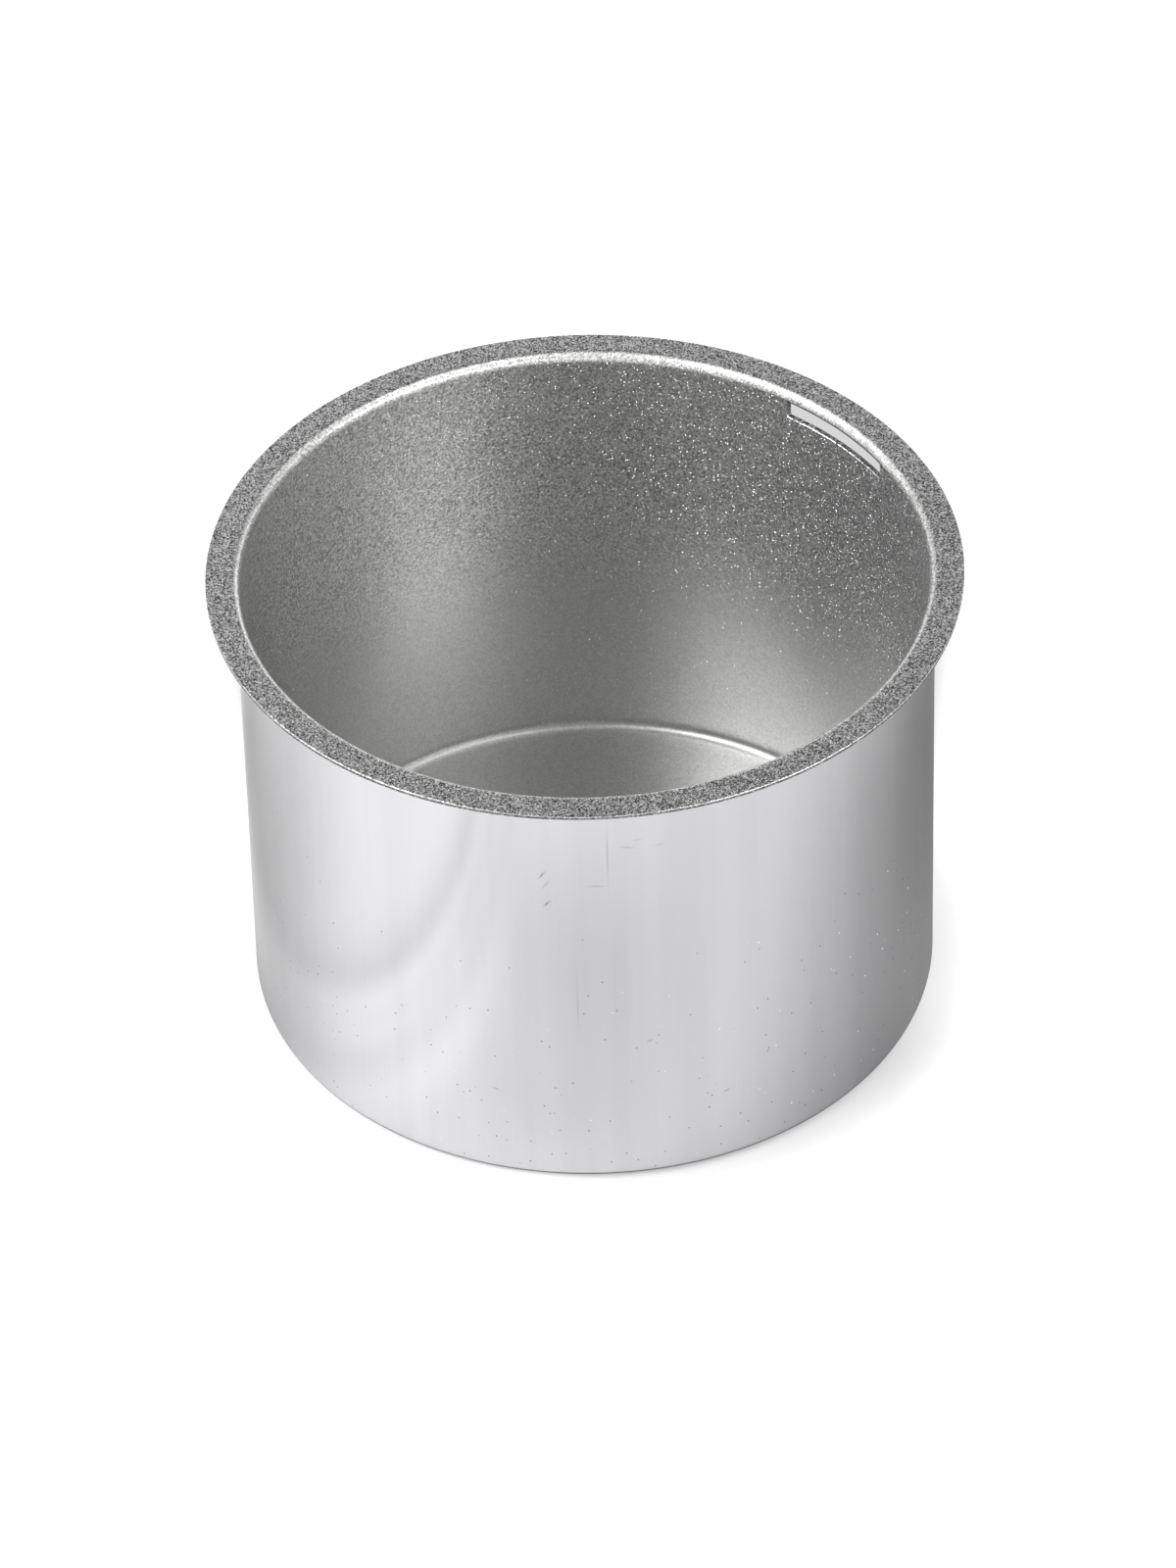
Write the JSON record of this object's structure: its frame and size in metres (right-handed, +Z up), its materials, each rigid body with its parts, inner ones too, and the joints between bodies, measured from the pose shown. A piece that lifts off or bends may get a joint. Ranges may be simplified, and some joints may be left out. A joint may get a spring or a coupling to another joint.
{
  "type": "flanged bowl",
  "caption": "Round straight-sided aluminium bowl with a flat base, a flat flanged rim and a narrow handle slot under the rim.",
  "frame": {"origin": "middle of the underside of the base, on the surface that the bowl stands on", "axes": "+Z up along the bowl's axis, out of its mouth; the slot under the rim faces 40.5 degrees from +X towards +Y, and the picture looks along +Y from above"},
  "size_m": [0.12, 0.12, 0.0805],
  "materials": {
    "aluminium": "polished outside and under the base, grey sparkling non-stick coating inside and on top of the flange"
  },
  "bodies": {
    "root": {"bowl": "aluminium"}
  },
  "joints": []
}
